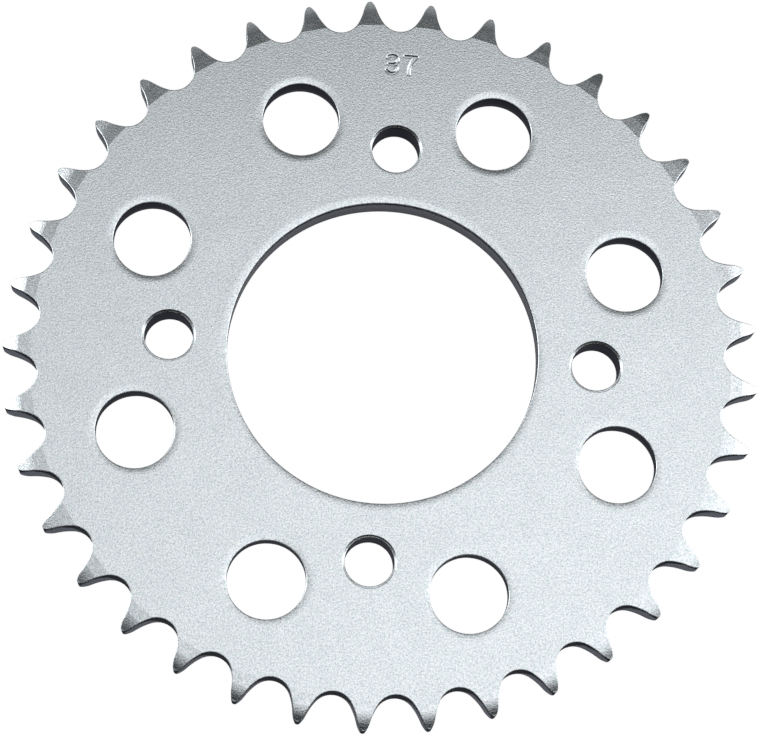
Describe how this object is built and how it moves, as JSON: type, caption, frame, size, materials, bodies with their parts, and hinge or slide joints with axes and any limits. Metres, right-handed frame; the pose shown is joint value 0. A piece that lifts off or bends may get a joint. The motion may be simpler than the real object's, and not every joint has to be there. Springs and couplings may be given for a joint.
{
  "type": "rear sprocket",
  "caption": "Flat one-piece steel roller-chain sprocket with a large plain bore, a ring of bolt holes, a ring of lightening holes and side-relieved teeth.",
  "frame": {"origin": "centre of the bore, on the hub-side face", "axes": "+Z along the sprocket's axis, out of the numbered outer face; +Y through the bolt hole under the numerals"},
  "size_m": [0.1945, 0.1943, 0.0075],
  "materials": {
    "plated_steel": "satin silver-grey plating over a fine blasted grain, smoother on the cut edges"
  },
  "bodies": {
    "root": {"sprocket_plate": "plated_steel"}
  },
  "joints": []
}
